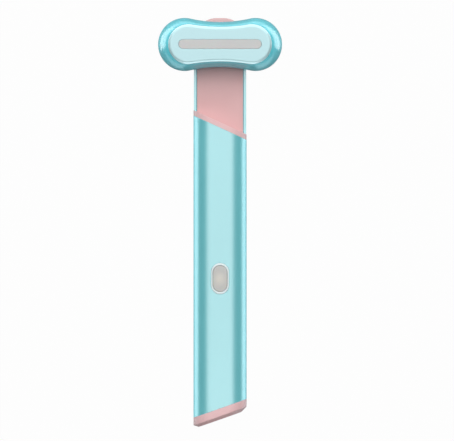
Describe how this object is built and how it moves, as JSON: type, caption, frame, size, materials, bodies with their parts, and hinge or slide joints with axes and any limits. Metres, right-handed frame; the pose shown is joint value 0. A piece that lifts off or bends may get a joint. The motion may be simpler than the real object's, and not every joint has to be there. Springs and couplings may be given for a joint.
{
  "type": "heated eye massager wand",
  "caption": "Slim cordless wand whose swivelling peanut-shaped head warms, vibrates and lights the skin round the eyes.",
  "frame": {"origin": "middle of the wand's length and width, on the flat of its back, which is the surface it lies on", "axes": "+X across the wand, +Y along it from the charging end to the head, +Z out of the massage face"},
  "size_m": [0.05, 0.165, 0.0168],
  "materials": {
    "anodised_handle": "satin anodised",
    "coated_head": "metallic lacquer",
    "coated_face": "bead-blasted, anodised",
    "light_window": "milky, frosted",
    "rose_casing": "fine moulded texture",
    "pale_bezel": "gloss",
    "pearl_button": "pearl grey",
    "button_light": "clear, diffusing",
    "black_chassis": "moulded",
    "board_laminate": "glass laminate with solder mask",
    "chip_black": "moulded",
    "cell_foil": "crimped foil pouch",
    "foam_strip": "closed-cell foam",
    "socket_steel": "stamped",
    "screw_steel": "zinc plated",
    "ground_steel": "ground",
    "spring_metal": "tin-bronze strip",
    "bush_plastic": "acetal",
    "heater_amber": "polyimide film",
    "diode_package": "moulded",
    "motor_steel": "drawn can",
    "weight_metal": "sintered heavy alloy",
    "cradle_rubber": "silicone",
    "cable_jacket": "soft jacket",
    "connector_nylon": "nylon"
  },
  "bodies": {
    "handle": {"handle_tube": "anodised_handle", "shoulder_cap": "rose_casing", "end_cap": "rose_casing", "neck_liner": "rose_casing", "nose_cap": "rose_casing", "button_bezel": "pale_bezel", "chassis": "black_chassis", "main_board": "board_laminate", "board_chips": "chip_black", "board_screws": "screw_steel", "battery_cell": "cell_foil", "battery_foam": "foam_strip", "battery_leads": "cable_jacket", "switch_body": "chip_black", "button_led": "diode_package", "usb_shell": "socket_steel", "usb_tongue": "chip_black", "earth_spring": "spring_metal", "pivot_bush": "bush_plastic", "wave_washer": "ground_steel", "head_cable": "cable_jacket", "cable_plug": "connector_nylon", "board_socket": "connector_nylon", "liner_screws": "screw_steel"},
    "button": {"button_cap": "pearl_button", "button_window": "button_light", "switch_plunger": "connector_nylon"},
    "head": {"head_back": "coated_head", "head_shell": "coated_head", "face_plate": "coated_face", "lens_bar": "light_window", "heater_film": "heater_amber", "light_board": "board_laminate", "light_diodes": "diode_package", "light_screws": "screw_steel", "head_screws": "screw_steel", "head_socket": "connector_nylon", "plate_springs": "spring_metal", "motor_can": "motor_steel", "motor_cradle": "cradle_rubber", "motor_leads": "cable_jacket", "pivot_spindle": "ground_steel", "retaining_clip": "ground_steel", "stop_pin": "ground_steel"},
    "motor_rotor": {"motor_shaft": "ground_steel", "eccentric_weight": "weight_metal"}
  },
  "joints": [
    {"name": "head_swivel", "type": "hinge", "parent": "handle", "child": "head", "pos_m": [0, 0.0718, 0.0065], "axis": [0, 0, 1], "range_deg": [-90, 90]},
    {"name": "button_press", "type": "slide", "parent": "handle", "child": "button", "axis": [0, 0, -1], "range_m": [0, 0.0004], "stiffness_N_per_m": 1500, "springref_m": -0.0002},
    {"name": "motor_spin", "type": "hinge", "parent": "head", "child": "motor_rotor", "pos_m": [-0.0082, 0.0718, 0.00995], "axis": [1, 0, 0], "continuous": true}
  ]
}
